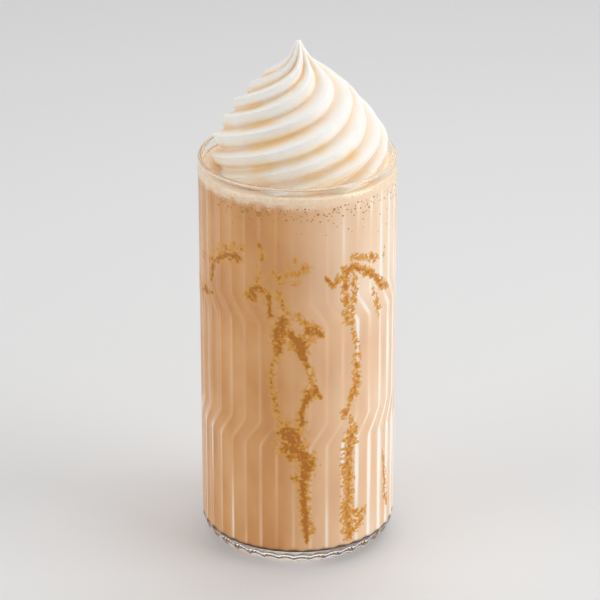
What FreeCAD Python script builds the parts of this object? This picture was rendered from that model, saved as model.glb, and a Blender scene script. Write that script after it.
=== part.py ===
"""Vanilla milkshake in its glass, topped with one piped swirl of whipped cream.

The glass is a pressed, straight-sided tumbler.  Its outer wall carries shallow flutes
between rounded ribs.  At two heights the ribs jog sideways by one pitch, and they run out
in a soft shoulder under a plain, rounded lip.  The heavy base has a rolled heel and a
shallow hollow underneath.  The drink fills the bore, a layer of froth lies on it, and the
cream stands on the froth.

Frame: +Z up, origin at the middle of the foot, millimetres.
"""
import FreeCAD
import Part
import math
import os

# --- glass: outside -------------------------------------------------------------------
GLASS_HEIGHT = 155.2
RIB_RADIUS = 36.9            # over the rounded ribs
SHOULDER_RADIUS = 37.1       # where the ribs thicken before they run out
FLUTE_COUNT = 36
FIRST_RIB = -2.4             # bearing of one rib, in degrees from the +X axis
FLUTE_DEPTH = 0.45           # from rib crest to the middle of a flute
RIB_WIDTH = 1.3              # the rounded rib between two flutes
RIB_ROUNDING = 0.09          # rise of the rib crest over its own two edges
HEEL_RADIUS = 9.3
LIP_BAND_RADIUS = 36.55      # plain band under the lip
LIP_RADIUS = 36.85           # the slightly fuller edge at the very top
SHOULDER_FULLNESS = 0.14     # how far the shoulder swells past a straight line
LIP_BAND_HOLLOW = 0.1        # how far the plain band is drawn in under the lip

# --- glass: heights up the wall -------------------------------------------------------
LOWER_JOG = (51.3, 60.6)     # the ribs step one pitch over between these heights
UPPER_JOG = (100.6, 109.9)   # and step back between these
SHOULDER_START = 145.0
SHOULDER_TOP = 149.4
FLUTES_END = 151.4
LIP_BAND_START = 151.7

# --- glass: inside and underneath -----------------------------------------------------
BORE_RADIUS = 34.9
FLOOR_HEIGHT = 7.0
FLOOR_CORNER = 2.0           # inner radius between wall and floor
PUNT_DEPTH = 1.0             # shallow hollow under the foot
PUNT_RADIUS = 21.0
FOOT_INNER_RADIUS = 24.5

# --- drink and froth ------------------------------------------------------------------
DRINK_LEVEL = 147.5
FROTH_LEVEL = 151.0

# --- whipped cream --------------------------------------------------------------------
# How far the crests of the swirl stand from its own axis, at heights from base to tip.
CREAM_PROFILE = [
    (151.0, 32.2), (158.0, 32.0), (165.0, 30.5), (172.0, 25.6), (179.0, 20.4),
    (185.0, 13.8), (190.0, 6.8), (194.5, 3.0), (198.8, 0.5),
]
RIDGE_COUNT = 8              # points of the star nozzle
RIDGE_DEPTH = 2.9            # crest to valley where the swirl is wide
RIDGE_SHARE = 0.55           # crest to valley as a share of a small radius, near the tip
RIDGE_SHARPNESS = 0.95
RIDGE_HEIGHTS = [-0.15, 0.05, 0.15, -0.2, 0.0, 0.05, 0.0, 0.2]    # unevenness
RIDGE_CROWDING = 4.1         # degrees by which the ridges crowd to one side
CROWDING_BEARING = 223.0
TWIST_START = 69.9           # bearing of the first ridge where the swirl begins
TWIST_RATE = 6.1             # degrees of turn for each millimetre of height
TWIST_EASES_FROM = 188.0     # above this the nozzle stops turning bit by bit
TWIST_STOPS_AT = 200.8
TIP_OFFSET = 0.3             # the tip is a hair off the glass's axis
LEAN = 0.8                   # and the base stands this much further to the same side
POLES_PER_RIDGE = 8
SECTION_COUNT = 26

FULL_TURN = 360.0
OVERRUN = 1.0                # how far a cutting form runs past the glass
SPLINE_DEGREE = 3


def polar(radius, degrees, height):
    """A point given by its distance from the axis, its bearing and its height."""
    angle = math.radians(degrees)
    return FreeCAD.Vector(radius * math.cos(angle), radius * math.sin(angle), height)


def arc(start, middle, end):
    """One circular edge through three points."""
    return Part.Arc(start, middle, end).toShape()


def flute_section(height, crest, phase, depth):
    """The closed outline of the fluted wall at one height: flute, rib, flute, rib...

    phase is counted in flute pitches.  A depth of 0 gives the same edges on a circle.
    """
    pitch = FULL_TURN / FLUTE_COUNT
    rib_angle = math.degrees(RIB_WIDTH / crest)
    rounding = RIB_ROUNDING if depth > 0 else 0.0
    edges = []
    for index in range(FLUTE_COUNT):
        rib_end = FIRST_RIB + (index + phase) * pitch + rib_angle / 2
        next_rib = rib_end + pitch - rib_angle
        edge_radius = crest - rounding
        flute_from = polar(edge_radius, rib_end, height)
        flute_deep = polar(crest - depth, (rib_end + next_rib) / 2, height)
        flute_to = polar(edge_radius, next_rib, height)
        rib_crest = polar(crest, next_rib + rib_angle / 2, height)
        rib_to = polar(edge_radius, next_rib + rib_angle, height)
        edges.append(arc(flute_from, flute_deep, flute_to))
        edges.append(arc(flute_to, rib_crest, rib_to))
    return edges


def fluted_body():
    """The fluted wall as a closed solid, a little longer than the glass at both ends."""
    stations = [
        (-OVERRUN, RIB_RADIUS, 0, FLUTE_DEPTH),
        (LOWER_JOG[0], RIB_RADIUS, 0, FLUTE_DEPTH),
        (LOWER_JOG[1], RIB_RADIUS, 1, FLUTE_DEPTH),
        (UPPER_JOG[0], RIB_RADIUS, 1, FLUTE_DEPTH),
        (UPPER_JOG[1], RIB_RADIUS, 0, FLUTE_DEPTH),
        (SHOULDER_START, RIB_RADIUS, 0, FLUTE_DEPTH),
        (SHOULDER_TOP, SHOULDER_RADIUS, 0, FLUTE_DEPTH),
        (FLUTES_END, SHOULDER_RADIUS, 0, 0),
        (GLASS_HEIGHT + OVERRUN, SHOULDER_RADIUS, 0, 0),
    ]
    sections = [flute_section(*station) for station in stations]
    faces = [Part.Face(Part.Wire(sections[0])), Part.Face(Part.Wire(sections[-1]))]
    for lower, upper in zip(sections, sections[1:]):
        faces += [Part.makeRuledSurface(a, b) for a, b in zip(lower, upper)]
    shell = Part.makeShell(faces)
    shell.sewShape()
    solid = Part.makeSolid(shell)
    if solid.Volume < 0:
        solid.reverse()
    return solid


def revolved(edges):
    """A solid of revolution from the edges of a closed outline in the XZ plane."""
    face = Part.Face(Part.Wire(edges))
    axis_point = FreeCAD.Vector(0, 0, 0)
    axis = FreeCAD.Vector(0, 0, 1)
    return face.revolve(axis_point, axis, FULL_TURN)


def at(radius, height):
    """A point of an outline in the XZ plane."""
    return FreeCAD.Vector(radius, 0, height)


def line(start, end):
    """One straight edge."""
    return Part.LineSegment(start, end).toShape()


def diagonal(radius, side, rise):
    """Half way round a quarter arc: from its centre, out or in, and up or down."""
    return at(side * radius, rise * radius) * math.sqrt(0.5)


def lip_form():
    """The half width of the rounded lip, and the centre of its rounding."""
    half = (LIP_RADIUS - BORE_RADIUS) / 2
    return half, at(BORE_RADIUS + half, GLASS_HEIGHT - half)


def glass_outside():
    """The rolled heel, the straight side, the shoulder and the lip as one turned form."""
    heel_centre = at(SHOULDER_RADIUS - HEEL_RADIUS, HEEL_RADIUS)
    heel_middle = heel_centre + diagonal(HEEL_RADIUS, 1, -1)
    lip_half, lip_centre = lip_form()
    foot_outer = at(heel_centre.x, 0)
    side_low = at(SHOULDER_RADIUS, HEEL_RADIUS)
    side_high = at(SHOULDER_RADIUS, SHOULDER_TOP)
    band_low = at(LIP_BAND_RADIUS, LIP_BAND_START)
    shoulder_middle = (side_high + band_low) / 2 + at(SHOULDER_FULLNESS, 0)
    lip_side = at(LIP_RADIUS, lip_centre.z)
    band_middle = (band_low + lip_side) / 2 - at(LIP_BAND_HOLLOW, 0)
    lip_top = at(lip_centre.x, GLASS_HEIGHT)
    lip_shoulder = lip_centre + diagonal(lip_half, 1, 1)
    punt_edge = at(PUNT_RADIUS, PUNT_DEPTH)
    foot_inner = at(FOOT_INNER_RADIUS, 0)
    return revolved([
        line(at(0, PUNT_DEPTH), punt_edge),
        line(punt_edge, foot_inner),
        line(foot_inner, foot_outer),
        arc(foot_outer, heel_middle, side_low),
        line(side_low, side_high),
        arc(side_high, shoulder_middle, band_low),
        arc(band_low, band_middle, lip_side),
        arc(lip_side, lip_shoulder, lip_top),
        line(lip_top, at(0, GLASS_HEIGHT)),
        line(at(0, GLASS_HEIGHT), at(0, PUNT_DEPTH)),
    ])


def bore_outline(top):
    """Edges of the bore's outline from its floor up to a given height, left open."""
    corner_centre = at(BORE_RADIUS - FLOOR_CORNER, FLOOR_HEIGHT + FLOOR_CORNER)
    floor_end = at(corner_centre.x, FLOOR_HEIGHT)
    wall_start = at(BORE_RADIUS, corner_centre.z)
    return [
        line(at(0, FLOOR_HEIGHT), floor_end),
        arc(floor_end, corner_centre + diagonal(FLOOR_CORNER, 1, -1), wall_start),
        line(wall_start, at(BORE_RADIUS, top)),
    ]


def bore(top):
    """What fits in the bore from its floor up to a flat level."""
    return revolved(bore_outline(top) + [
        line(at(BORE_RADIUS, top), at(0, top)),
        line(at(0, top), at(0, FLOOR_HEIGHT)),
    ])


def glass_bore_cutter():
    """The bore with its mouth, which rolls outwards over the inner half of the lip."""
    lip_half, lip_centre = lip_form()
    lip_inside = at(BORE_RADIUS, lip_centre.z)
    lip_corner = lip_centre + diagonal(lip_half, -1, 1)
    lip_top = at(lip_centre.x, GLASS_HEIGHT)
    above = GLASS_HEIGHT + 2 * OVERRUN
    return revolved(bore_outline(lip_inside.z) + [
        arc(lip_inside, lip_corner, lip_top),
        line(lip_top, at(lip_centre.x, above)),
        line(at(lip_centre.x, above), at(0, above)),
        line(at(0, above), at(0, FLOOR_HEIGHT)),
    ])


def make_glass():
    """The fluted body, turned to its outside form and bored out."""
    turned = fluted_body().common(glass_outside())
    return turned.cut(glass_bore_cutter()).Solids[0]


def make_milkshake():
    """The drink, from the floor of the bore up to the froth."""
    return bore(DRINK_LEVEL)


def make_froth():
    """The pale layer between the drink and the cream, from wall to wall."""
    base = FreeCAD.Vector(0, 0, DRINK_LEVEL)
    return Part.makeCylinder(BORE_RADIUS, FROTH_LEVEL - DRINK_LEVEL, base)


def crest_radius(height):
    """Distance of the crests from the swirl's axis: a smooth curve through the profile."""
    points = [at(radius, level) for level, radius in CREAM_PROFILE]
    curve = Part.BSplineCurve()
    curve.interpolate(points)
    level = Part.Plane(at(0, height), FreeCAD.Vector(0, 0, 1))
    return curve.intersectCS(level)[0][0].X


def twist(height):
    """Bearing of the first ridge at a height; the turning eases off towards the tip."""
    base = CREAM_PROFILE[0][0]
    eased = max(0.0, height - TWIST_EASES_FROM)
    ease_length = TWIST_STOPS_AT - TWIST_EASES_FROM
    return TWIST_START + TWIST_RATE * (height - base - eased ** 2 / (2 * ease_length))


def ridge_form(bearing):
    """How much of the ridge depth stands at a bearing, counted from the first ridge."""
    crest = 0.5 + 0.5 * math.cos(math.radians(RIDGE_COUNT * bearing))
    ridge = round(bearing / (FULL_TURN / RIDGE_COUNT)) % RIDGE_COUNT
    return crest ** RIDGE_SHARPNESS * (1 + RIDGE_HEIGHTS[ridge])


def cream_section(height):
    """Control points of the star outline at one height, along the twisted ridges."""
    crest = crest_radius(height)
    depth = RIDGE_DEPTH * (1 - math.exp(-RIDGE_SHARE * crest / RIDGE_DEPTH))
    top = CREAM_PROFILE[-1][0]
    base = CREAM_PROFILE[0][0]
    centre = at(TIP_OFFSET + LEAN * (top - height) / (top - base), 0)
    count = RIDGE_COUNT * POLES_PER_RIDGE
    points = []
    for index in range(count):
        bearing = index * FULL_TURN / count
        crowd = RIDGE_CROWDING * math.cos(math.radians(bearing - CROWDING_BEARING))
        radius = crest - depth * (1 - ridge_form(bearing))
        points.append(centre + polar(radius, bearing + crowd + twist(height), height))
    return points


def make_whipped_cream():
    """The swirl: one smooth surface through twisted star sections, closed at both ends."""
    base = CREAM_PROFILE[0][0]
    rise = CREAM_PROFILE[-1][0] - base
    last = SECTION_COUNT - 1
    sections = [cream_section(base + rise * index / last) for index in range(SECTION_COUNT)]
    poles = [list(column) for column in zip(*sections)]
    surface = Part.BSplineSurface()
    end_knot = SPLINE_DEGREE + 1
    rising_knots = [end_knot] + [1] * (SECTION_COUNT - end_knot) + [end_knot]
    surface.buildFromPolesMultsKnots(
        poles,
        [1] * (len(poles) + 1),
        rising_knots,
        list(range(len(poles) + 1)),
        list(range(len(rising_knots))),
        True, False, SPLINE_DEGREE, SPLINE_DEGREE)
    side = surface.toShape()
    ends = [edge for edge in side.Edges if edge.isClosed()]
    caps = [Part.Face(Part.Wire(edge)) for edge in ends]
    shell = Part.makeShell([side] + caps)
    shell.sewShape()
    solid = Part.makeSolid(shell)
    if solid.Volume < 0:
        solid.reverse()
    return solid


def save(name, shape):
    """Write one piece to its STEP file and say what it measures."""
    shape.exportStep("parts/" + name + ".step")
    box = shape.optimalBoundingBox()
    print(name, shape.ShapeType, "valid", shape.isValid(),
          "volume %.1f cm3" % (shape.Volume / 1000),
          "size %.1f x %.1f x %.1f" % (box.XLength, box.YLength, box.ZLength))


def main():
    os.makedirs("parts", exist_ok=True)
    save("glass", make_glass())
    save("milkshake", make_milkshake())
    save("froth", make_froth())
    save("whipped_cream", make_whipped_cream())


main()
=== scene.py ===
import math
import random

import bpy
import numpy as np
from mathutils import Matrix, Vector, noise


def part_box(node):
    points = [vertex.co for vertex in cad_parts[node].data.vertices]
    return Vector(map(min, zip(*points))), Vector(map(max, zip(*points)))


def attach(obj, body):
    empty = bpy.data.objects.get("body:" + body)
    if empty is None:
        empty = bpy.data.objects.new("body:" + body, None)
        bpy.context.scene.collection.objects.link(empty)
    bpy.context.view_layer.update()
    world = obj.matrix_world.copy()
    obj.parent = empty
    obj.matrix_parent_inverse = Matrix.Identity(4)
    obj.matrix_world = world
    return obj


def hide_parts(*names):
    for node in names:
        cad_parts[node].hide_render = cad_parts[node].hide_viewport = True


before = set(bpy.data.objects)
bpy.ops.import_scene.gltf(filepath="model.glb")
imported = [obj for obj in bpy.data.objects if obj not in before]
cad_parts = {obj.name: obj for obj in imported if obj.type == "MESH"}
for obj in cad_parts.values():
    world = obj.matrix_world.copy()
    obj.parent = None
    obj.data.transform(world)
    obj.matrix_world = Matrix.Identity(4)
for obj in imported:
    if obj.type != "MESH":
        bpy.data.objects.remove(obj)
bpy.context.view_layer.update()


# ---------------------------------------------------------------------------------------
# The glass: a pressed, straight-sided tumbler of clear soda-lime glass.  Its outer wall
# has shallow flutes between rounded ribs, which jog one pitch sideways at two heights.
# The heel is rolled, the lip fire-polished, and a shallow hollow lies under the foot.
# ---------------------------------------------------------------------------------------
MM = 0.001
glass_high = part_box("glass")[1]
glass_height = glass_high[2] / MM
widest_radius = glass_high[0] / MM
bore_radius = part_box("milkshake")[1][0] / MM
floor_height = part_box("milkshake")[0][2] / MM

rib_radius = widest_radius - 0.2
lip_radius = widest_radius - 0.25
lip_band_radius = widest_radius - 0.55
heel_radius = 9.3
floor_corner = 2.0
punt_depth, punt_radius, foot_inner_radius = 1.0, 21.0, 24.5

flute_count = 36
first_rib = -2.4             # bearing of one rib, in degrees from the +X axis
flute_depth = 0.45
rib_share = 0.2              # how much of each half pitch the rounded rib takes
jog_softness = 0.6
lower_jog = (51.3, 60.6)
upper_jog = (100.6, 109.9)
shoulder_start, shoulder_top, flutes_end, lip_band_start = 145.0, 149.4, 151.4, 151.7
shoulder_curl = 1.2          # radius of the rounded top of the shoulder

# Where the columns of the mesh lie between a rib (0) and the middle of a flute (1).
flute_steps = (0.0, 0.07, 0.14, 0.22, 0.34, 0.5, 0.66, 0.83)
plain_rise, jog_rise = 6.0, 0.6    # height between rings on straight ribs, and in a jog


def arc_points(centre, radius, start, end, steps):
    """Points (distance from axis, height) along an arc, angles in degrees."""
    angles = np.radians(np.linspace(start, end, steps))
    return [(centre[0] + radius * math.cos(a), centre[1] + radius * math.sin(a)) for a in angles]


def soft_ramp(value, low, high, softness):
    """0 below low, 1 above high, a straight rise between, with rounded corners."""
    span = high - low
    rise = math.hypot(value - low, softness) - math.hypot(value - high, softness)
    return (rise + span) / (2 * span)


def jog(height):
    """How many pitches the ribs stand to one side at a height."""
    out = soft_ramp(height, *lower_jog, jog_softness)
    back = soft_ramp(height, *upper_jog, jog_softness)
    return out - back


def rib_wall(step, height):
    """Radius of the fluted wall; step goes from 0 on a rib to 1 in the middle of a flute."""
    if step < rib_share:
        hollow = step ** 2 / rib_share
    else:
        hollow = 1 - (1 - step) ** 2 / (1 - rib_share)
    fade = 1 - soft_ramp(height, shoulder_top - 0.2, flutes_end, 0.3)
    crest = rib_radius + (widest_radius - rib_radius) * soft_ramp(height, shoulder_start, shoulder_top, 1.0)
    return crest - flute_depth * hollow * fade


def soft_min(a, b, softness):
    """The smaller of two lengths, with the corner between them rounded."""
    return (a + b - math.hypot(a - b, softness)) / 2


def smooth_piece(name, points, faces):
    """A smooth-shaded piece from points in metres and faces that number them."""
    mesh = bpy.data.meshes.new(name)
    mesh.from_pydata(points, [], faces)
    mesh.shade_smooth()
    piece = bpy.data.objects.new(name, mesh)
    bpy.context.collection.objects.link(piece)
    return piece


def ring_skin(name, rings, first_point, last_point):
    """A smooth skin from closed rings of points, its ends drawn together to single points."""
    rows, columns = len(rings), len(rings[0])
    points = [tuple(p) for ring in rings for p in ring]
    faces = []
    for row in range(rows - 1):
        for column in range(columns):
            after = (column + 1) % columns
            low, high = row * columns, (row + 1) * columns
            faces.append((low + column, low + after, high + after, high + column))
    points += [tuple(first_point), tuple(last_point)]
    first, last, top = len(points) - 2, len(points) - 1, (rows - 1) * columns
    faces += [(first, (c + 1) % columns, c) for c in range(columns)]
    faces += [(last, top + c, top + (c + 1) % columns) for c in range(columns)]
    return smooth_piece(name, points, faces)


def fitted(piece, node, material):
    """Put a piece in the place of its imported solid."""
    piece.data.materials.append(material)
    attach(piece, "root")
    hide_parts(node)


def heel_point(step, turned):
    """A point of the rolled heel; the flutes run round it and fade out under the foot."""
    tuck = rib_radius - rib_wall(step, heel_radius)
    radius = heel_radius - tuck * (1 - soft_ramp(turned, 55.0, 80.0, 5.0))
    angle = math.radians(turned)
    return (rib_radius - heel_radius + radius * math.cos(angle), heel_radius - radius * math.sin(angle))


def tumbler_outline():
    """(distance, height, form) from the hollow under the foot, over the lip, to the floor.

    On the heel, the second number is how far the glass has turned under, in degrees.
    """
    lip_half = (lip_radius - bore_radius) / 2
    lip_centre = (bore_radius + lip_half, glass_height - lip_half)
    corner_centre = (bore_radius - floor_corner, floor_height + floor_corner)
    outside = [(punt_radius * share, punt_depth, "round") for share in (0.35, 0.7, 0.9, 0.97)]
    outside += [(punt_radius + 0.3, punt_depth - 0.05, "round"), (foot_inner_radius - 0.4, 0.08, "round"),
                (foot_inner_radius, 0.0, "round"), (foot_inner_radius + 1.5, 0.0, "round")]
    outside += [(None, turned, "heel") for turned in np.linspace(90, 0, 26)]
    heights = list(np.arange(12.5, lower_jog[0] - 3, plain_rise))
    heights += list(np.arange(lower_jog[0] - 2.4, lower_jog[1] + 2.5, jog_rise))
    heights += list(np.arange(lower_jog[1] + 5, upper_jog[0] - 4, plain_rise))
    heights += list(np.arange(upper_jog[0] - 2.4, upper_jog[1] + 2.5, jog_rise))
    heights += [116.0, 124.0, 132.0, 140.0, 143.5]
    heights += list(np.arange(shoulder_start, shoulder_top, 0.7))
    outside += [(widest_radius, h, "fluted") for h in heights]
    curl_centre = (widest_radius - shoulder_curl, shoulder_top + 0.6)
    outside += [(*p, "fluted") for p in arc_points(curl_centre, shoulder_curl, 0, 50, 7)]
    outside += [(lip_band_radius + 0.12, lip_band_start - 0.3, "round"),
                (lip_band_radius, lip_band_start, "round"),
                (lip_band_radius, lip_band_start + 0.8, "round"),
                (lip_radius - 0.04, lip_centre[1] - 0.5, "round")]
    inside = [(*p, "round") for p in arc_points(lip_centre, lip_half, 0, 180, 17)]
    inside += [(bore_radius, h, "round") for h in (150.0, 144.0, 120.0, 80.0, 40.0, 20.0)]
    inside += [(*p, "round") for p in arc_points(corner_centre, floor_corner, 0, -90, 9)]
    inside += [(bore_radius * 0.5, floor_height, "round")]
    return outside + inside


def tumbler_rings():
    """Rings whose columns follow the ribs, so that every jog keeps a clean edge."""
    half_pitch = 180.0 / flute_count
    bearings = []
    for flute in range(flute_count):
        rib = first_rib + flute * 2 * half_pitch
        for step in reversed(flute_steps[1:]):
            bearings.append((rib - step * half_pitch, step))
        for step in flute_steps + (1.0,):
            bearings.append((rib + step * half_pitch, step))
    rings = []
    for distance, height, form in tumbler_outline():
        turn = jog(height) * 2 * half_pitch if form == "fluted" else 0.0
        ring = []
        for bearing, step in bearings:
            radius, level = distance, height
            if form == "heel":
                radius, level = heel_point(step, height)
            elif form == "fluted":
                radius = soft_min(distance, rib_wall(step, height), 0.06)
            angle = math.radians(bearing + turn)
            ring.append(Vector((radius * math.cos(angle), radius * math.sin(angle), level)) * MM)
        rings.append(ring)
    return rings


def node_chain(material):
    """The node tree, its links and the shader of a new material."""
    material.use_nodes = True
    tree = material.node_tree
    return tree.nodes, tree.links, tree.nodes["Principled BSDF"]


def object_noise(nodes, links, scale, detail=3.0, stretch=(1, 1, 1)):
    """A cloudy pattern fixed to the object; scale is in features for each metre."""
    place = nodes.new("ShaderNodeTexCoord")
    mapping = nodes.new("ShaderNodeMapping")
    mapping.inputs["Scale"].default_value = stretch
    cloud = nodes.new("ShaderNodeTexNoise")
    cloud.inputs["Scale"].default_value = scale
    cloud.inputs["Detail"].default_value = detail
    links.new(place.outputs["Object"], mapping.inputs["Vector"])
    links.new(mapping.outputs["Vector"], cloud.inputs["Vector"])
    return cloud.outputs["Fac"]


def combined(nodes, links, kind, a, b):
    """One number worked out from two, each a socket or a plain value."""
    node = nodes.new("ShaderNodeMath")
    node.operation = kind
    for socket, value in zip(node.inputs, (a, b)):
        if isinstance(value, (int, float)):
            socket.default_value = value
        else:
            links.new(value, socket)
    return node.outputs[0]


def bumped(nodes, links, shader, heights, strength, distance):
    """Small relief in a finish, distance metres high at full strength."""
    bump = nodes.new("ShaderNodeBump")
    bump.inputs["Strength"].default_value = strength
    bump.inputs["Distance"].default_value = distance
    links.new(heights, bump.inputs["Height"])
    links.new(bump.outputs["Normal"], shader.inputs["Normal"])


def clear_glass():
    """Clear glass with a faint waviness from the mould; lamps shine straight through it."""
    material = bpy.data.materials.new("clear_glass")
    nodes, links, glass = node_chain(material)
    glass.inputs["Base Color"].default_value = (0.985, 0.99, 0.985, 1)
    glass.inputs["Roughness"].default_value = 0.02
    glass.inputs["IOR"].default_value = 1.5
    glass.inputs["Transmission Weight"].default_value = 1.0
    bumped(nodes, links, glass, object_noise(nodes, links, 120.0, 2.0), 0.15, 0.0001)
    path = nodes.new("ShaderNodeLightPath")
    let_through = combined(nodes, links, "MAXIMUM", path.outputs["Is Shadow Ray"],
                           path.outputs["Is Diffuse Ray"])
    clear = nodes.new("ShaderNodeBsdfTransparent")
    choice = nodes.new("ShaderNodeMixShader")
    links.new(let_through, choice.inputs["Fac"])
    links.new(glass.outputs["BSDF"], choice.inputs[1])
    links.new(clear.outputs["BSDF"], choice.inputs[2])
    links.new(choice.outputs["Shader"], nodes["Material Output"].inputs["Surface"])
    return material


glass = ring_skin("glass_tumbler", tumbler_rings(), (0, 0, punt_depth * MM), (0, 0, floor_height * MM))
fitted(glass, "glass", clear_glass())


# ---------------------------------------------------------------------------------------
# The milkshake: thick vanilla ice cream and milk blended with a little caramel.  It fills
# the bore up to the froth and wets the wall, so its surface reaches just into the glass.
# ---------------------------------------------------------------------------------------
drink_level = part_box("milkshake")[1][2] / MM
wetting = 0.15               # how far what fills the glass reaches into the wall
skin_top = drink_level + 2.25    # the drink's skin ends out of sight inside the froth
drink_columns = 18 * flute_count

rib_highlight_width = 0.065           # half the width of a painted highlight line behind a rib on the left, in pitches
rib_highlight_shift = 1.1             # how far the painted highlight lines at the sides stand off their ribs, in degrees
flute_shade_slope = 0.2            # how much the painted shade changes from one side of a flute to the other
painted_light_share = 0.6             # how strongly the painted light that pales the drink shows where it is strongest
# height above the drink's underside and width of the painted shade line along its lower corner
corner_shade_height, corner_shade_width = 0.55, 0.8
foam_depth = 3.0             # how far below the froth the drink is still foamy
foam_pattern_radius = 33.0   # distance from the axis at which the foam's pattern is read


def turned_rings(outline, columns):
    """Plain round rings from (distance, height) pairs."""
    angles = np.linspace(0, 2 * math.pi, columns, endpoint=False)
    return [[Vector((r * math.cos(a), r * math.sin(a), h)) * MM for a in angles] for r, h in outline]


def milkshake_outline():
    """(distance, height) from the middle of the underside, up the wall and into the froth.

    Its rows are close enough together to carry the painted light and shade of the ribs.
    """
    radius = bore_radius + wetting
    low = floor_height - wetting
    corner = (radius - floor_corner, low + floor_corner)
    outline = [(radius * 0.5, low), (radius * 0.8, low), (radius - floor_corner - 0.4, low)]
    outline += arc_points(corner, floor_corner, -90, 0, 14)
    outline += [(radius, h) for h in np.linspace(low + floor_corner + 1, drink_level - 4, 112)]
    outline += [(radius, h) for h in np.linspace(drink_level - 3.7, skin_top - 0.05, 18)]
    outline += [(radius - 1.0, skin_top)]
    return outline


def rib_light_and_shade(bearing, height):
    """Painted light and shade for the ribs: (painted shade across a flute, painted highlight line behind a
    rib, painted light that pales the drink).

    to_side is 1 at the right of the glass and -1 at its left, and facing is 1 at its front.
    The painted light and shade are strongest on the right, and differ below, between and above the jogs.
    """
    turned = math.radians(bearing + 90)
    to_side, facing = math.sin(turned), math.cos(turned)
    right, left = max(0.0, to_side), max(0.0, -to_side)
    below = 1 - soft_ramp(height, *lower_jog, jog_softness)
    above = soft_ramp(height, *upper_jog, jog_softness)
    level = 0.8 + 0.25 * below - 0.2 * above * (1 - right)

    pitch = 360.0 / flute_count
    across = ((bearing - first_rib - rib_highlight_shift * to_side) / pitch - jog(height)) % 1.0
    shade = level * (0.4 + 0.6 * abs(to_side)) * flute_shade_slope * (across - 0.5)

    width = rib_highlight_width * (1 + 1.1 * right ** 0.7)
    line = math.exp(-(min(across, 1 - across) / width) ** 2)
    patch = 0.75 + 0.9 * noise.noise(Vector((bearing / 9.0, height / 30.0, 7.0)))
    side = 0.14 + 0.16 * below + 1.6 * right ** 1.2 + 0.6 * left ** 1.3
    line = min(1.0, max(0.0, line * patch * level * side))

    painted_light = painted_light_share * (max(0.0, 0.2 + to_side) + 0.6 * max(0.0, -0.8 - to_side)) * (0.7 + 0.3 * facing)
    painted_light *= 1 + 0.5 * above + 0.5 * noise.noise(Vector((bearing / 12.0, height / 25.0, 1.0)))
    return shade, line, painted_light


def underneath(distance, height):
    """0 on the side of the drink, 1 on its underside."""
    low = floor_height - wetting
    return 1.0 if distance < bore_radius - 1 and height < low + 0.05 * floor_corner else 0.0


def corner_shade(bearing, distance, height):
    """How dark the painted shade line is: a wavy hairline where the drink's lower edge meets the floor of the
    glass.
    """
    if distance <= bore_radius - floor_corner - 0.5:
        return 0.0
    above_floor = height - (floor_height - wetting)
    wave = 0.2 * math.cos(math.radians((bearing - first_rib) * flute_count))
    wave += 0.3 * noise.noise(Vector((bearing / 6.0, 0.0, 3.0)))
    return math.exp(-((above_floor - corner_shade_height - wave) / corner_shade_width) ** 2)


def foam_share(bearing, height):
    """How far the top of the drink has turned to foam: bubbly and uneven, and paler upwards."""
    turned = math.radians(bearing)
    place = Vector((foam_pattern_radius * math.cos(turned), foam_pattern_radius * math.sin(turned), height))
    uneven = 1.1 * noise.noise(place / 2.6) + 0.8 * noise.noise(place / 0.8)
    below = drink_level - height
    return min(1.0, max(0.0, 0.62 - (below + 1.3 * uneven) / foam_depth)) ** 1.3


def painted(piece, name, values):
    """Store one number for each point of a mesh, for its material to read."""
    attribute = piece.data.attributes.new(name, "FLOAT", "POINT")
    attribute.data.foreach_set("value", values)


def painted_value(nodes, name):
    """A number stored on the points of a mesh, for a material."""
    source = nodes.new("ShaderNodeAttribute")
    source.attribute_name = name
    return source.outputs["Fac"]


def ramp(nodes, links, source, stops):
    """Colours spread along a value; stops are (position, colour)."""
    band = nodes.new("ShaderNodeValToRGB")
    while len(band.color_ramp.elements) < len(stops):
        band.color_ramp.elements.new(0.5)
    for element, (position, colour) in zip(band.color_ramp.elements, stops):
        element.position = position
        element.color = (*colour, 1)
    links.new(source, band.inputs["Fac"])
    return band.outputs["Color"]


def blended(nodes, links, amount, first, second):
    """A colour that goes from the first to the second by an amount."""
    mix = nodes.new("ShaderNodeMix")
    mix.data_type = "RGBA"
    links.new(amount, mix.inputs["Factor"])
    for name, colour in (("A", first), ("B", second)):
        socket = next(s for s in mix.inputs if s.name == name and s.type == "RGBA")
        if isinstance(colour, tuple):
            socket.default_value = (*colour, 1)
        else:
            links.new(colour, socket)
    return next(s for s in mix.outputs if s.type == "RGBA")


def soft_inside(shader, share, depths):
    """Light goes a little way in; depths are how far red, green and blue go, in metres."""
    shader.inputs["Subsurface Weight"].default_value = share
    shader.inputs["Subsurface Radius"].default_value = depths
    shader.inputs["Subsurface Scale"].default_value = 1.0


drink_dark = (0.61, 0.265, 0.08)
drink_middle = (0.69, 0.335, 0.115)
drink_light = (0.83, 0.49, 0.23)
# Painted highlight lines behind the ribs: warm where faint, pale where strong.
warm_rib_highlight, pale_rib_highlight = (0.96, 0.66, 0.41), (0.97, 0.89, 0.81)
# Painted light that pales the drink, strongest on its right.
painted_light_colour = (0.93, 0.75, 0.58)
foam_colour = (0.93, 0.69, 0.48)
# The underside is painted pale and mottled: painted light for the light that gathers in the thick base.
underside_light_pale, underside_light_dim = (0.93, 0.87, 0.81), (0.5, 0.38, 0.3)
# A near-black painted shade line along the drink's lower corner.
corner_shade_colour = (0.035, 0.015, 0.008)


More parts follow.
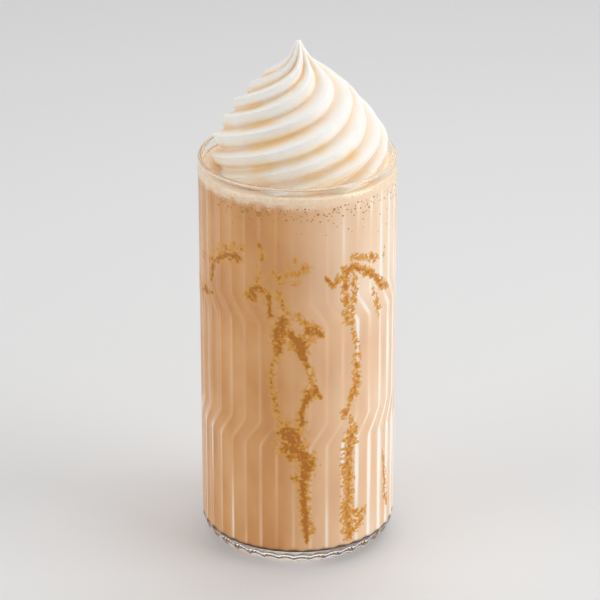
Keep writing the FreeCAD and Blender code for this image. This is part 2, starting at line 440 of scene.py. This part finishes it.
def milkshake_finish():
    """Opaque milk with faint clouds and foam, painted light and shade from the ribs, painted light on the
    underside, and a painted shade line along the lower corner.
    """
    material = bpy.data.materials.new("milkshake")
    nodes, links, shader = node_chain(material)
    clouds = object_noise(nodes, links, 70.0, 4.0, (1, 1, 0.6))
    # shade is painted shade that changes across each flute
    tone = combined(nodes, links, "ADD", painted_value(nodes, "shade"), clouds)
    colour = ramp(nodes, links, tone, [(0.25, drink_dark), (0.5, drink_middle), (1.0, drink_light)])
    # painted light that pales the drink, strongest on its right
    colour = blended(nodes, links, painted_value(nodes, "painted_light"), colour, painted_light_colour)
    # painted highlight lines behind the ribs
    line = painted_value(nodes, "line")
    rib_highlight_colour = ramp(nodes, links, line, [(0.3, warm_rib_highlight), (0.75, pale_rib_highlight)])
    colour = blended(nodes, links, line, colour, rib_highlight_colour)
    colour = blended(nodes, links, painted_value(nodes, "foam"), colour, foam_colour)
    # painted light on the underside, pale and mottled, for the light that gathers in the thick base
    underside_painted_light = ramp(nodes, links, object_noise(nodes, links, 110.0, 3.0),
                   [(0.4, underside_light_dim), (0.58, underside_light_pale)])
    colour = blended(nodes, links, painted_value(nodes, "underside"), colour, underside_painted_light)
    # the painted shade line along the lower corner
    colour = blended(nodes, links, painted_value(nodes, "corner_shade"), colour, corner_shade_colour)
    links.new(colour, shader.inputs["Base Color"])
    shader.inputs["Roughness"].default_value = 0.5
    shader.inputs["IOR"].default_value = 1.36
    shader.inputs["Specular IOR Level"].default_value = 0.05
    soft_inside(shader, 0.3, (0.002, 0.0011, 0.0007))
    return material


drink_outline = milkshake_outline()
milkshake = ring_skin("milkshake_fill", turned_rings(drink_outline, drink_columns),
                      (0, 0, (floor_height - wetting) * MM), (0, 0, skin_top * MM))

# Each list that is painted on the drink ends with the values of its skin's two end points.
bearings = [360.0 * column / drink_columns for column in range(drink_columns)]
places = [(bearing, distance, height) for distance, height in drink_outline for bearing in bearings]
# painted shade across the flutes, painted highlight lines behind the ribs, and painted light that pales the
# drink
marks = [rib_light_and_shade(bearing, height) for bearing, _, height in places]
for kind, name in enumerate(("shade", "line", "painted_light")):
    painted(milkshake, name, [mark[kind] for mark in marks] + [0.0, 0.0])
painted(milkshake, "foam", [foam_share(bearing, height) for bearing, _, height in places] + [0.0, 1.0])
# painted light on the underside
painted(milkshake, "underside", [underneath(distance, height) for _, distance, height in places] + [1.0, 0.0])
# the painted shade line along the lower corner
painted(milkshake, "corner_shade", [corner_shade(*place) for place in places] + [0.0, 0.0])
fitted(milkshake, "milkshake", milkshake_finish())


# ---------------------------------------------------------------------------------------
# The caramel: thin sauce that was trickled down the inside of the glass before the drink
# went in.  It clings in arches, drips and blots, thick in places and worn through in others.
# ---------------------------------------------------------------------------------------
caramel_standing = 0.04      # how far the sauce stands out of the drink
caramel_depth = 0.14         # how thick the sauce is
caramel_cell = 0.35          # spacing of the points that its outline is worked out from
caramel_edge = 0.16          # where the sauce counts as gone
clot_size, fleck_size = 1.3, 0.55
clot_share, wear = 0.42, 0.03    # how strongly the clots show, and how much is worn off all over

# Each trickle: how thick it is, then places along it as (degrees to the right of the
# front, height, half width).
trickles = [
    (0.9, [(-62, 112, 0.8), (-60, 117, 1.5), (-57, 120, 1.1), (-52, 123, 0.9), (-46, 124.8, 1.1),
           (-40, 125.3, 1.4), (-36, 125, 1.0)]),
    (0.5, [(-49, 128, 1.3), (-45, 127, 1.5), (-40, 129, 1.2), (-35, 129.5, 1.2)]),
    (0.45, [(-63, 119, 0.8), (-58, 124, 0.9), (-55, 126, 0.6)]),
    (0.85, [(-76, 104.5, 1.2), (-70, 105.5, 1.5), (-65, 106, 1.2), (-61, 106.5, 0.8)]),
    (0.4, [(-76, 118, 1.1), (-70, 119.5, 1.0), (-66, 120, 0.8)]),
    (0.5, [(-23, 132.5, 0.7), (-21, 129.5, 1.2), (-22, 126, 0.6)]),
    (0.5, [(-24, 122.5, 0.8), (-23, 120.5, 1.3), (-24, 118, 0.7)]),
    (0.95, [(-28, 111.5, 2.0), (-27, 114, 1.2), (-24, 115.3, 1.1), (-20, 114.5, 0.9), (-17, 112.5, 0.8),
            (-17, 108, 0.6), (-16, 104.5, 0.8)]),
    (0.5, [(-15, 122, 1.0), (-12, 120.5, 1.2), (-8, 120, 0.9), (-5, 122, 1.2), (-1, 121.5, 1.2),
           (2, 123, 0.8), (4.5, 124.3, 1.5)]),
    (0.45, [(-6, 125, 0.7), (-3, 126, 0.8), (-1, 128, 0.5)]),
    (0.4, [(-11, 118, 0.9), (-5, 119, 0.8), (0, 118, 0.7)]),
    (0.45, [(-12, 115, 0.7), (-9, 110.5, 1.1), (-8, 107, 0.9), (-5, 105.2, 0.8), (0, 105.2, 0.8),
            (3, 103, 1.0), (7, 101, 1.2)]),
    (1.0, [(-8, 103.5, 1.2), (-10.5, 100, 1.8), (-11.5, 95, 1.7), (-11.5, 91, 1.2)]),
    (0.55, [(-12, 89, 0.8), (-14, 85, 1.0), (-16.5, 80, 1.0), (-15, 76, 0.8), (-13.5, 72, 1.1),
            (-13, 68, 0.8), (-12, 65, 1.0), (-8.5, 62, 1.1), (-7, 59, 1.2)]),
    (1.0, [(-4.5, 99, 0.8), (-2, 96, 1.4), (1.5, 94, 2.4), (2.5, 91, 1.8), (4, 87.5, 0.9), (6, 84.5, 0.5)]),
    (0.9, [(5, 98, 0.7), (7, 99.5, 1.3), (10, 99.3, 1.5), (13, 97.8, 0.9), (15.5, 96, 0.4)]),
    (0.4, [(6, 84, 1.0), (8, 81, 1.1), (9.5, 78, 0.9)]),
    (0.8, [(10, 77, 0.5), (11.5, 74, 0.7), (15, 70.8, 0.4)]),
    (0.95, [(10.5, 74.8, 0.8), (7.5, 73.5, 1.7), (5, 71, 1.1), (3.5, 68, 0.8), (2, 65, 1.0),
            (2.5, 61.5, 1.2)]),
    (1.0, [(-9, 58, 1.8), (-4, 56.5, 2.8), (-4, 53, 3.2), (-2, 50.5, 2.8), (3, 48.5, 2.0), (5.5, 44.5, 2.1),
           (4.5, 40, 1.6), (3, 36, 1.3), (3.5, 30, 1.2), (4, 25, 1.1), (5, 20, 1.2), (5.5, 15, 0.9),
           (6, 11, 0.5)]),
    (0.7, [(-7, 52, 1.4), (-5.5, 48.5, 1.1), (-4, 46.5, 0.6)]),
    (0.7, [(-3.5, 39.5, 0.5), (-1, 38.3, 1.0), (2, 37.5, 1.0)]),
    (0.6, [(5, 18.5, 0.7), (8, 16.5, 0.9), (9.5, 14.5, 0.4)]),
    (0.6, [(17, 119.5, 0.6), (20, 117, 0.8), (22, 116.3, 0.8), (25, 118.5, 1.1), (28, 119, 0.7)]),
    (0.68, [(28, 122.5, 0.8), (31, 121.3, 1.0), (36, 122, 1.0), (40, 120.3, 0.8), (43, 119, 1.1),
            (47, 118, 1.1), (51, 116, 0.9), (55, 113, 0.9), (60, 110, 1.2), (64, 108.7, 1.2),
            (68, 107.5, 0.6)]),
    (0.45, [(36, 125.5, 1.1), (40, 125, 0.8), (45, 124.5, 1.2), (50, 122.5, 1.1), (55, 122, 0.8)]),
    (0.52, [(30, 120, 1.0), (29, 113, 0.9), (30, 107, 1.0), (31.5, 102, 1.4), (34, 99.8, 0.8)]),
    (0.45, [(36, 118, 0.8), (35.5, 112, 0.9), (34, 107, 1.0), (34, 103, 0.8)]),
    (0.35, [(34.5, 98, 0.7), (36.5, 93, 0.8), (38, 88, 0.7)]),
    (0.5, [(37, 86, 1.0), (38, 80, 1.2), (37.5, 75, 1.2), (35, 70, 1.3), (32, 66, 0.8), (29.5, 63.5, 1.2)]),
    (0.35, [(34, 62, 0.6), (34, 58, 0.7)]),
    (0.6, [(35, 55.5, 1.6), (33.5, 52.5, 1.8), (32, 47, 1.5), (31.5, 40, 1.5), (32, 32, 1.5),
            (32, 25, 1.5), (31.5, 19, 1.6), (33.5, 14, 1.9), (33, 10.5, 1.2)]),
    (0.5, [(37, 21, 1.0), (41, 20, 1.2), (45, 20, 1.0)]),
    (0.5, [(42, 19, 1.2), (41, 16, 1.5), (38, 14.5, 0.9)]),
    (0.4, [(50, 111, 0.5), (53, 107, 0.7), (56, 102, 1.0), (57, 98, 0.4)]),
    (0.35, [(62, 125, 0.6), (61, 120, 0.6)]),
    (0.4, [(63, 41, 0.4), (65, 36, 0.9), (66, 29, 1.0), (66, 22, 1.0), (70, 17, 0.7)]),
]


def sauce_on_wall(trickles):
    """How thick the sauce is over a grid of (distance round the wall, height)."""
    radius = bore_radius + wetting
    half_way = math.pi * radius
    across = np.arange(-half_way, half_way, caramel_cell)
    up = np.arange(floor_height + 2, drink_level - 4, caramel_cell)
    thickness = np.zeros((len(up), len(across)))
    per_degree = radius * math.pi / 180
    for strength, places in trickles:
        for (b0, h0, w0), (b1, h1, w1) in zip(places, places[1:]):
            start = np.array((b0 * per_degree, h0))
            run = np.array((b1 * per_degree, h1)) - start
            reach = 2.5 * max(w0, w1) + 1
            columns = np.flatnonzero((across > min(start[0], start[0] + run[0]) - reach)
                                     & (across < max(start[0], start[0] + run[0]) + reach))
            rows = np.flatnonzero((up > min(h0, h1) - reach) & (up < max(h0, h1) + reach))
            if not len(columns) or not len(rows):
                continue
            x, y = np.meshgrid(across[columns], up[rows])
            along = np.clip(((x - start[0]) * run[0] + (y - start[1]) * run[1]) / (run @ run), 0, 1)
            off = np.hypot(x - start[0] - along * run[0], y - start[1] - along * run[1])
            level = strength * np.exp(-0.5 * (off / (w0 + (w1 - w0) * along)) ** 2)
            patch = thickness[rows[0]:rows[-1] + 1, columns[0]:columns[-1] + 1]
            np.maximum(patch, level, out=patch)
    return across, up, thickness


def broken_up(across, up, thickness):
    """The sauce, clotted and worn through by a pattern of a millimetre or so."""
    radius = bore_radius + wetting
    for row, column in zip(*np.nonzero(thickness > 0.04)):
        angle = across[column] / radius
        place = Vector((radius * math.cos(angle), radius * math.sin(angle), up[row]))
        clots = noise.noise(place / clot_size) + 0.9 * noise.noise(place / fleck_size)
        left = thickness[row, column] * (1 + 0.4 * clots) + clot_share * clots - wear
        thickness[row, column] = max(0.0, left)
    return thickness


def clipped_cell(corners, level):
    """The part of one grid cell where the sauce is thicker than a level."""
    kept = []
    for (here, amount), (after, next_amount) in zip(corners, corners[1:] + corners[:1]):
        if amount >= level:
            kept.append((here, amount))
        if (amount >= level) != (next_amount >= level):
            share = (level - amount) / (next_amount - amount)
            between = tuple(a + share * (b - a) for a, b in zip(here, after))
            kept.append((between, level))
    return kept


def closed_behind(points, faces, amounts, depth):
    """Give an open skin on the wall a back, further in, and an edge all round."""
    count = len(points)
    for point in list(points):
        inward = 1 - depth * MM / math.hypot(point.x, point.y)
        points.append(Vector((point.x * inward, point.y * inward, point.z)))
    amounts += amounts
    ways = {(a, b) for face in faces for a, b in zip(face, face[1:] + face[:1])}
    backs = [[index + count for index in reversed(face)] for face in faces]
    edges = [[b, a, a + count, b + count] for a, b in sorted(ways) if (b, a) not in ways]
    faces += backs + edges


def sauce_skin(name, across, up, thickness):
    """A mesh of the sauce that lies on the drink, with its thickness kept on the points."""
    radius = bore_radius + wetting + caramel_standing
    points, faces, amounts, known = [], [], [], {}
    thick = thickness >= caramel_edge
    busy = thick[:-1, :-1] | thick[1:, :-1] | thick[:-1, 1:] | thick[1:, 1:]
    for row, column in zip(*np.nonzero(busy)):
        around = [(row, column), (row, column + 1), (row + 1, column + 1), (row + 1, column)]
        corners = [((across[c], up[r]), thickness[r, c]) for r, c in around]
        face = []
        for (x, y), amount in clipped_cell(corners, caramel_edge):
            key = (round(x, 3), round(y, 3))
            if key not in known:
                known[key] = len(points)
                angle = math.radians(-90) + x / (bore_radius + wetting)
                points.append(Vector((radius * math.cos(angle), radius * math.sin(angle), y)) * MM)
                amounts.append(float(amount))
            if known[key] not in face:
                face.append(known[key])
        if len(face) > 2:
            faces.append(face)
    closed_behind(points, faces, amounts, caramel_depth)
    piece = smooth_piece(name, points, faces)
    piece.data.set_sharp_from_angle(angle=math.radians(50))
    painted(piece, "thickness", amounts)
    return piece


thin_caramel, caramel_tone, thick_caramel = (0.74, 0.36, 0.085), (0.63, 0.26, 0.014), (0.45, 0.14, 0.001)


def caramel_finish():
    """Golden brown sauce, darker where it is thick, that fades into the drink's colour at its edge."""
    material = bpy.data.materials.new("caramel")
    nodes, links, shader = node_chain(material)
    grain = object_noise(nodes, links, 700.0, 3.0)
    spread = combined(nodes, links, "MULTIPLY", grain, 0.3)
    amount = combined(nodes, links, "ADD", painted_value(nodes, "thickness"), spread)
    colour = ramp(nodes, links, amount, [(0.28, drink_middle), (0.42, thin_caramel),
                                         (0.68, caramel_tone), (1.0, thick_caramel)])
    links.new(colour, shader.inputs["Base Color"])
    shader.inputs["Roughness"].default_value = 0.45
    shader.inputs["Specular IOR Level"].default_value = 0.05
    return material


def carried_back(places):
    """A trickle of the front moved round to the back and lower down, where it hangs steeper."""
    side = 1 if places[0][0] > 0 else -1
    return [(side * (194 - 0.8 * abs(bearing)), 0.9 * height + 1.5, 0.9 * width)
            for bearing, height, width in places]


far_side = [(strength, carried_back(places)) for strength, places in trickles
            if min(p[0] for p in places) > 0 or max(p[0] for p in places) <= 0]
across, up, thickness = sauce_on_wall(trickles + far_side)
caramel = sauce_skin("caramel_streaks", across, up, broken_up(across, up, thickness))
caramel.data.materials.append(caramel_finish())
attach(caramel, "root")


# ---------------------------------------------------------------------------------------
# The froth: a pale layer of fine milk foam between the drink and the cream, from wall to
# wall.  Its lower edge wanders a little, and its top shows in the gap round the cream.
# ---------------------------------------------------------------------------------------
froth_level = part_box("froth")[1][2] / MM
froth_low = drink_level - 0.6    # the froth's underside lies out of sight inside the drink
edge_rise = 1.2              # how far above the drink's level the froth's edge on the wall lies


def wander(x, y, z, size):
    """A smooth random height between -1 and 1, the same on every run."""
    return noise.noise(Vector((x, y, z)) / size)


def froth_rings():
    """The froth's skin: under the drink's top, up the wall with a wandering edge, and level on top."""
    radius = bore_radius + wetting + 0.06
    columns = 8 * flute_count
    rings = []
    profile = [(0.5, None), (0.95, None), (0.9925, "edge"), (0.996, 0.1), (0.9985, 0.22), (1.0, 0.4),
               (1.0, 0.8), (0.998, 0.97), (0.985, 1.0), (0.96, 1.0), (0.93, 1.0), (0.9, 1.0), (0.85, 1.0),
               (0.6, 1.0)]
    for share, level in profile:
        ring = []
        for index in range(columns):
            angle = 2 * math.pi * index / columns
            x, y = radius * share * math.cos(angle), radius * share * math.sin(angle)
            edge = drink_level + edge_rise + 0.6 * wander(x, y, 0, 3.0) + 0.4 * wander(x, y, 9, 0.9)
            if level is None:
                height = froth_low
            elif level == "edge":
                height = edge
            else:
                height = edge + (froth_level - edge) * level
                if level >= 0.97:
                    height += 0.18 * wander(x, y, 4, 1.3)
            ring.append(Vector((x, y, height)) * MM)
        rings.append(ring)
    return rings


froth_shade, froth_light = (0.94, 0.66, 0.44), (0.97, 0.79, 0.6)


def froth_finish():
    """Pale foam with a fine grain of small bubbles."""
    material = bpy.data.materials.new("froth")
    nodes, links, shader = node_chain(material)
    clouds = object_noise(nodes, links, 900.0, 2.0)
    colour = ramp(nodes, links, clouds, [(0.35, froth_shade), (0.65, froth_light)])
    links.new(colour, shader.inputs["Base Color"])
    shader.inputs["Roughness"].default_value = 0.55
    soft_inside(shader, 0.3, (0.003, 0.002, 0.0012))
    bumped(nodes, links, shader, clouds, 0.4, 0.0003)
    return material


froth = ring_skin("froth_layer", froth_rings(), (0, 0, froth_low * MM), (0, 0, froth_level * MM))
fitted(froth, "froth", froth_finish())


# ---------------------------------------------------------------------------------------
# The bubbles: air that rose along the wall and stopped under the froth.  Each is a shallow
# dome pressed flat against the glass.  Its darker colours are painted shade and its pale rim
# a painted highlight, for the way light bends at the pocket of air.
# ---------------------------------------------------------------------------------------
bubble_count = 420
bubble_back = 0.12           # how far a dome's closed back lies inside the drink
# The rings of a dome: (share of its radius, how far out of the drink, how near the rim).
dome_rings = ((1.0, -bubble_back, 1.0), (1.0, 0.02, 1.0), (0.8, 0.06, 0.5), (0.45, 0.09, 0.0))
dome_columns = 16
# Degrees to the right of the front, height and radius of the bubbles that stand out.
large_bubbles = [(-31, 144.8, 0.95), (-23, 144.3, 1.05), (-27.5, 146.1, 0.5), (-18, 145.6, 0.5),
                 (12, 144.9, 0.55), (150, 144.6, 0.9), (118, 144.9, 0.7), (-120, 145.0, 0.85)]


def bubble_places():
    """(degrees to the right of the front, height, radius) of every bubble."""
    chance = random.Random(11)
    per_degree = bore_radius * math.pi / 180
    places = list(large_bubbles)
    while len(places) < bubble_count:
        bearing = chance.uniform(-180, 180)
        height = drink_level - min(15.0, 0.2 + chance.expovariate(1 / 3.4))
        radius = chance.uniform(0.16, 0.34) + 0.25 * chance.random() ** 6
        if all(math.hypot((bearing - b) * per_degree, height - h) > radius + r + 0.1 for b, h, r in places):
            places.append((bearing, height, radius))
    return places


def bubble_skin(name, places):
    """One mesh of shallow domes with closed backs, a dome for each place on the wall."""
    wall = bore_radius + wetting
    points, faces, rims = [], [], []
    for bearing, height, radius in places:
        turn = math.radians(bearing - 90)
        out = Vector((math.cos(turn), math.sin(turn), 0))
        side = Vector((-math.sin(turn), math.cos(turn), 0))
        centre = Vector((0, 0, height))
        first = len(points)
        for share, stand, rim in dome_rings:
            for index in range(dome_columns):
                angle = 2 * math.pi * index / dome_columns
                along, up = radius * share * math.cos(angle), radius * share * math.sin(angle)
                fall = along ** 2 / (2 * wall)
                points.append((out * (wall + stand - fall) + side * along + centre + Vector((0, 0, up))) * MM)
                rims.append(rim)
        back, front = len(points), len(points) + 1
        points += [(out * (wall - bubble_back) + centre) * MM, (out * (wall + 0.1) + centre) * MM]
        rims += [1.0, 0.0]
        last = first + (len(dome_rings) - 1) * dome_columns
        for low in range(first, last, dome_columns):
            for i in range(dome_columns):
                j = (i + 1) % dome_columns
                faces.append((low + i, low + j, low + dome_columns + j, low + dome_columns + i))
        for i in range(dome_columns):
            j = (i + 1) % dome_columns
            faces.append((back, first + j, first + i))
            faces.append((front, last + i, last + j))
    piece = smooth_piece(name, points, faces)
    painted(piece, "rim", rims)
    return piece


# Painted shade for the middle and ring of a bubble, and a painted highlight for its rim.
bubble_middle_shade, bubble_ring_shade, bubble_rim_highlight = (0.55, 0.25, 0.045), (0.42, 0.165, 0.018), (0.78, 0.48, 0.23)


def bubble_finish():
    """Golden and a little shiny, with painted shade in a darker middle and ring, and a painted highlight on
    the rim.
    """
    material = bpy.data.materials.new("bubble")
    nodes, links, shader = node_chain(material)
    colour = ramp(nodes, links, painted_value(nodes, "rim"),
                  [(0.0, bubble_middle_shade), (0.6, bubble_ring_shade), (1.0, bubble_rim_highlight)])
    links.new(colour, shader.inputs["Base Color"])
    shader.inputs["Roughness"].default_value = 0.3
    shader.inputs["Specular IOR Level"].default_value = 0.1
    return material


bubbles = bubble_skin("froth_bubbles", bubble_places())
bubbles.data.materials.append(bubble_finish())
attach(bubbles, "root")


# ---------------------------------------------------------------------------------------
# The whipped cream: one swirl of dairy cream, piped in a single turn of a star nozzle.
# Eight ridges wind up to the tip; each is a little uneven, and drag lines follow them.
# ---------------------------------------------------------------------------------------
cream_low, cream_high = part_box("whipped_cream")
cream_base = cream_low[2] / MM
cream_top = cream_high[2] / MM
# Height and radius of the crests, from the froth to the tip.
cream_profile = [(151.0, 32.2), (158.0, 32.0), (165.0, 30.5), (172.0, 25.6), (179.0, 20.4),
                 (185.0, 13.8), (190.0, 6.8), (194.5, 3.0), (198.8, 0.9)]
ridge_count = 8
ridge_depth, ridge_share, ridge_sharpness = 2.9, 0.55, 0.95
ridge_lean = 0.65            # how far the ridges lean upwards, in radians of their wave
crest_edge = 0.4             # height of the thin edge that the nozzle leaves on each crest
crest_width = 0.3            # how wide that edge is, in radians of the wave
drag_relief = 0.09           # height of the fine lines that the nozzle drags along the ridges
ridge_heights = (-0.15, 0.05, 0.15, -0.2, 0.0, 0.05, 0.0, 0.2)    # how much higher each is, as a share
ridge_crowding, crowding_bearing = 4.1, 223.0    # degrees that they move round, and where they move most
twist_start, twist_rate = 69.9, 6.1              # degrees at the froth, and degrees for each mm up
twist_eases_from, twist_stops_at = 188.0, 200.8
tip_offset, lean = 0.3, 0.8      # how far the tip stands to one side, and how much more the foot does
tip_starts = 186.0           # from here up the rings lie closer together


def natural_spline(knots):
    """A smooth curve through (height, radius) knots, as a function of the height."""
    x = np.array([k[0] for k in knots])
    y = np.array([k[1] for k in knots])
    n = len(x)
    step = np.diff(x)
    system = np.eye(n)
    right = np.zeros(n)
    for i in range(1, n - 1):
        system[i, i - 1:i + 2] = step[i - 1], 2 * (step[i - 1] + step[i]), step[i]
        right[i] = 6 * ((y[i + 1] - y[i]) / step[i] - (y[i] - y[i - 1]) / step[i - 1])
    bend = np.linalg.solve(system, right)

    def curve(height):
        i = int(np.clip(np.searchsorted(x, height) - 1, 0, n - 2))
        a, b = x[i + 1] - height, height - x[i]
        h = step[i]
        return ((bend[i] * a ** 3 + bend[i + 1] * b ** 3) / (6 * h)
                + (y[i] / h - bend[i] * h / 6) * a + (y[i + 1] / h - bend[i + 1] * h / 6) * b)
    return curve


def phase_off(phase):
    """How far a phase is from the nearest crest, in radians."""
    return (phase + math.pi) % (2 * math.pi) - math.pi


def twist(height):
    """How far the ridges have wound round at a height, in degrees."""
    eased = max(0.0, height - twist_eases_from)
    ease_length = twist_stops_at - twist_eases_from
    return twist_start + twist_rate * (height - cream_base - eased ** 2 / (2 * ease_length))


def cream_rings():
    """The swirl's rings, and for each point how much painted warm shade it takes: deep in a valley between
    ridges, and low down next to the drink.
    """
    crest_radius = natural_spline(cream_profile)
    columns = 60 * ridge_count
    heights = list(np.linspace(cream_base, tip_starts, 150))
    heights += list(np.linspace(tip_starts + 0.3, cream_top, 50))
    rings, valleys = [], []
    for height in heights:
        # painted shade low on the cream, where it sits on the drink
        shade_near_drink = 0.6 * math.exp(-((height - cream_base) / 8.0) ** 2)
        crest = crest_radius(height)
        full = min(1.0, max(0.0, (crest - 0.6) / 6.0)) ** 0.7
        depth = ridge_depth * (1 - math.exp(-ridge_share * crest / ridge_depth)) * full
        centre_x = tip_offset + lean * (cream_top - height) / (cream_top - cream_base)
        ring = []
        for index in range(columns):
            bearing = 360.0 * index / columns
            phase = math.radians(ridge_count * bearing)
            wave = 0.5 + 0.5 * math.cos(phase - ridge_lean * (1 - math.cos(phase)))
            ridge = round(bearing * ridge_count / 360.0) % ridge_count
            form = wave ** ridge_sharpness * (1 + ridge_heights[ridge])
            crowd = ridge_crowding * math.cos(math.radians(bearing - crowding_bearing))
            angle = math.radians(bearing + crowd + twist(height))
            edge = crest_edge * full * math.exp(-(phase_off(phase) / crest_width) ** 2)
            radius = crest - depth * (1 - form) + edge
            x, y = radius * math.cos(angle), radius * math.sin(angle)
            uneven = 0.25 * wander(x, y, height, 9.0) + 0.1 * wander(x, y, height + 50, 3.0)
            drag = drag_relief * noise.noise(Vector((bearing * 1.1, height / 14.0, 3.0)))
            radius += (uneven + drag) * min(1.0, crest / 8.0)
            x, y = radius * math.cos(angle), radius * math.sin(angle)
            ring.append(Vector((centre_x + x, y, height)) * MM)
            valleys.append(min(1.0, (1 - wave) * full + shade_near_drink))
        rings.append(ring)
    return rings, valleys


# The cream's own white on the ridges, and painted warm shade down the slopes into the valleys.
ridge_colour, slope_shade_colour, valley_shade_colour = (0.92, 0.9, 0.87), (0.92, 0.85, 0.76), (0.9, 0.74, 0.58)
golden_valley_shade = (0.91, 0.65, 0.34)


def cream_finish():
    """White dairy cream with painted warm shade in the valleys, golden in patches there."""
    material = bpy.data.materials.new("whipped_cream")
    nodes, links, shader = node_chain(material)
    valley = painted_value(nodes, "valley")
    clouds = object_noise(nodes, links, 55.0, 3.0)
    patches = ramp(nodes, links, clouds, [(0.45, (0, 0, 0)), (0.6, (1, 1, 1))])
    amount = combined(nodes, links, "MULTIPLY", valley, patches)
    colour = ramp(nodes, links, valley, [(0.0, ridge_colour), (0.4, slope_shade_colour), (1.0, valley_shade_colour)])
    colour = blended(nodes, links, amount, colour, golden_valley_shade)
    links.new(colour, shader.inputs["Base Color"])
    shader.inputs["Roughness"].default_value = 0.42
    shader.inputs["IOR"].default_value = 1.4
    soft_inside(shader, 0.35, (0.004, 0.0025, 0.0015))
    return material


rings, valleys = cream_rings()
cream = ring_skin("cream_swirl", rings, (0, 0, cream_base * MM),
                  (tip_offset * MM, 0, (cream_top + 0.15) * MM))
# the valley numbers carry the painted warm shade
painted(cream, "valley", valleys + [0.0, 0.0])
fitted(cream, "whipped_cream", cream_finish())


# ---------------------------------------------------------------------------------------
# The table, the light and the eye: a pale matt surface, a white room, three soft boxes and
# a camera that looks down on the glass.
# ---------------------------------------------------------------------------------------
floor_mesh = bpy.data.meshes.new("table")
floor_mesh.from_pydata([(-4, -3, 0), (4, -3, 0), (4, 6, 0), (-4, 6, 0)], [], [(0, 1, 2, 3)])
floor = bpy.data.objects.new("table", floor_mesh)
bpy.context.collection.objects.link(floor)
floor_paint = bpy.data.materials.new("table_paint")
floor_shader = node_chain(floor_paint)[2]
floor_shader.inputs["Base Color"].default_value = (0.86, 0.86, 0.86, 1)
floor_shader.inputs["Roughness"].default_value = 0.7
floor_mesh.materials.append(floor_paint)

# The room is white where it is seen, mirrored or looked at through the glass, and lights less.
room_light = 0.4
world = bpy.data.worlds.new("studio")
bpy.context.scene.world = world
world.use_nodes = True
sky, sky_links = world.node_tree.nodes, world.node_tree.links
sky["Background"].inputs["Color"].default_value = (1, 1, 1, 1)
sky_path = sky.new("ShaderNodeLightPath")
seen = combined(sky, sky_links, "MAXIMUM", sky_path.outputs["Is Camera Ray"],
                sky_path.outputs["Is Transmission Ray"])
seen = combined(sky, sky_links, "MAXIMUM", seen, sky_path.outputs["Is Glossy Ray"])
brightness = combined(sky, sky_links, "MULTIPLY", seen, 1 - room_light)
brightness = combined(sky, sky_links, "ADD", brightness, room_light)
sky_links.new(brightness, sky["Background"].inputs["Strength"])


def soft_box(name, place, size, watts):
    """A square studio lamp that faces the middle of the glass."""
    lamp = bpy.data.lights.new(name, "AREA")
    lamp.size = size
    lamp.energy = watts
    box = bpy.data.objects.new(name, lamp)
    box.location = place
    box.rotation_euler = (lit_point - Vector(place)).to_track_quat("-Z", "Y").to_euler()
    box.visible_camera = False
    bpy.context.collection.objects.link(box)


lit_point = Vector((0, 0, 0.1))
soft_box("right_box", (1.9, -0.62, 0.6), 1.5, 26.0)
soft_box("top_box", (0.1, 0.2, 0.9), 0.6, 2.4)
soft_box("left_fill", (-2.3, -0.85, 0.8), 2.0, 22.0)

# A weak lamp under the drink stands in for the light that gathers in the thick base.
base_glow = bpy.data.lights.new("light_in_the_base", "AREA")
base_glow.shape = "DISK"
base_glow.size = 1.3 * bore_radius * MM
base_glow.energy = 0.003
glow = bpy.data.objects.new("light_in_the_base", base_glow)
glow.location = (-10 * MM, -6 * MM, (punt_depth + 0.5) * MM)
glow.rotation_euler = (math.pi, 0, 0)
glow.visible_camera = glow.visible_glossy = glow.visible_transmission = False
bpy.context.collection.objects.link(glow)

eye_to_right, eye_distance, eye_height, look_down = 0.0009, 1.0308, 0.5579, 24.15
camera_data = bpy.data.cameras.new("eye")
camera_data.lens = 180.0
camera_data.sensor_width = 36.0
camera = bpy.data.objects.new("eye", camera_data)
camera.location = (eye_to_right, -eye_distance, eye_height)
camera.rotation_euler = (math.radians(90 - look_down), 0, 0)
bpy.context.collection.objects.link(camera)
bpy.context.scene.camera = camera
bpy.context.scene.view_settings.view_transform = "Standard"
